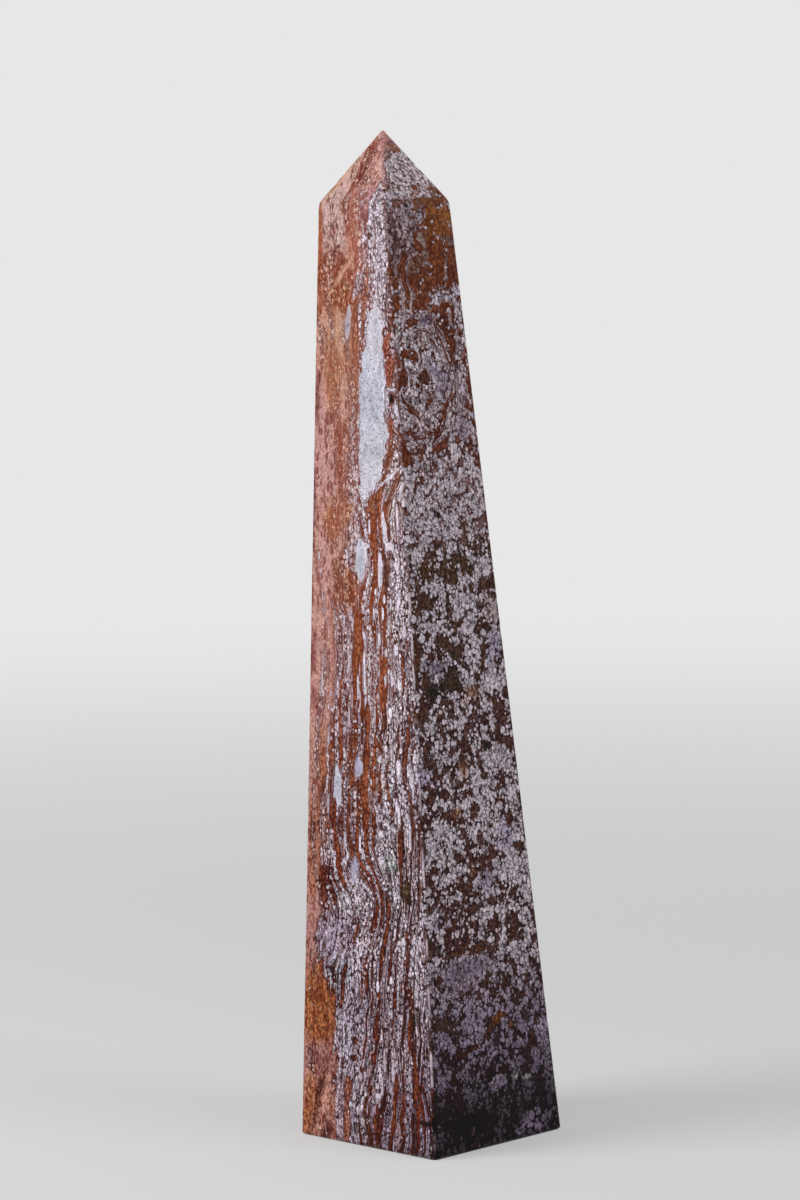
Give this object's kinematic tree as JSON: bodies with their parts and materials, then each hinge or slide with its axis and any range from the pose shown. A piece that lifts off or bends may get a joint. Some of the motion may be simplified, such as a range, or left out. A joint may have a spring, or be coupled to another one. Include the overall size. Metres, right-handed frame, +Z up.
{
  "type": "desk obelisk",
  "caption": "Small polished stone obelisk: one solid tapered square shaft with a low pyramid tip, standing on its flat foot as a desk or shelf ornament.",
  "frame": {"origin": "middle of the flat foot, on the surface that the obelisk stands on", "axes": "+Z up towards the tip; +X square to the face with the orbs cut flat across, -Y square to the face with the bands running up it"},
  "size_m": [0.0556, 0.055, 0.2993],
  "materials": {
    "polished_jasper": "polished orbicular jasper: rust, ochre and peach bands with lilac-white orbs on dark brown"
  },
  "bodies": {
    "root": {"obelisk": "polished_jasper"}
  },
  "joints": []
}
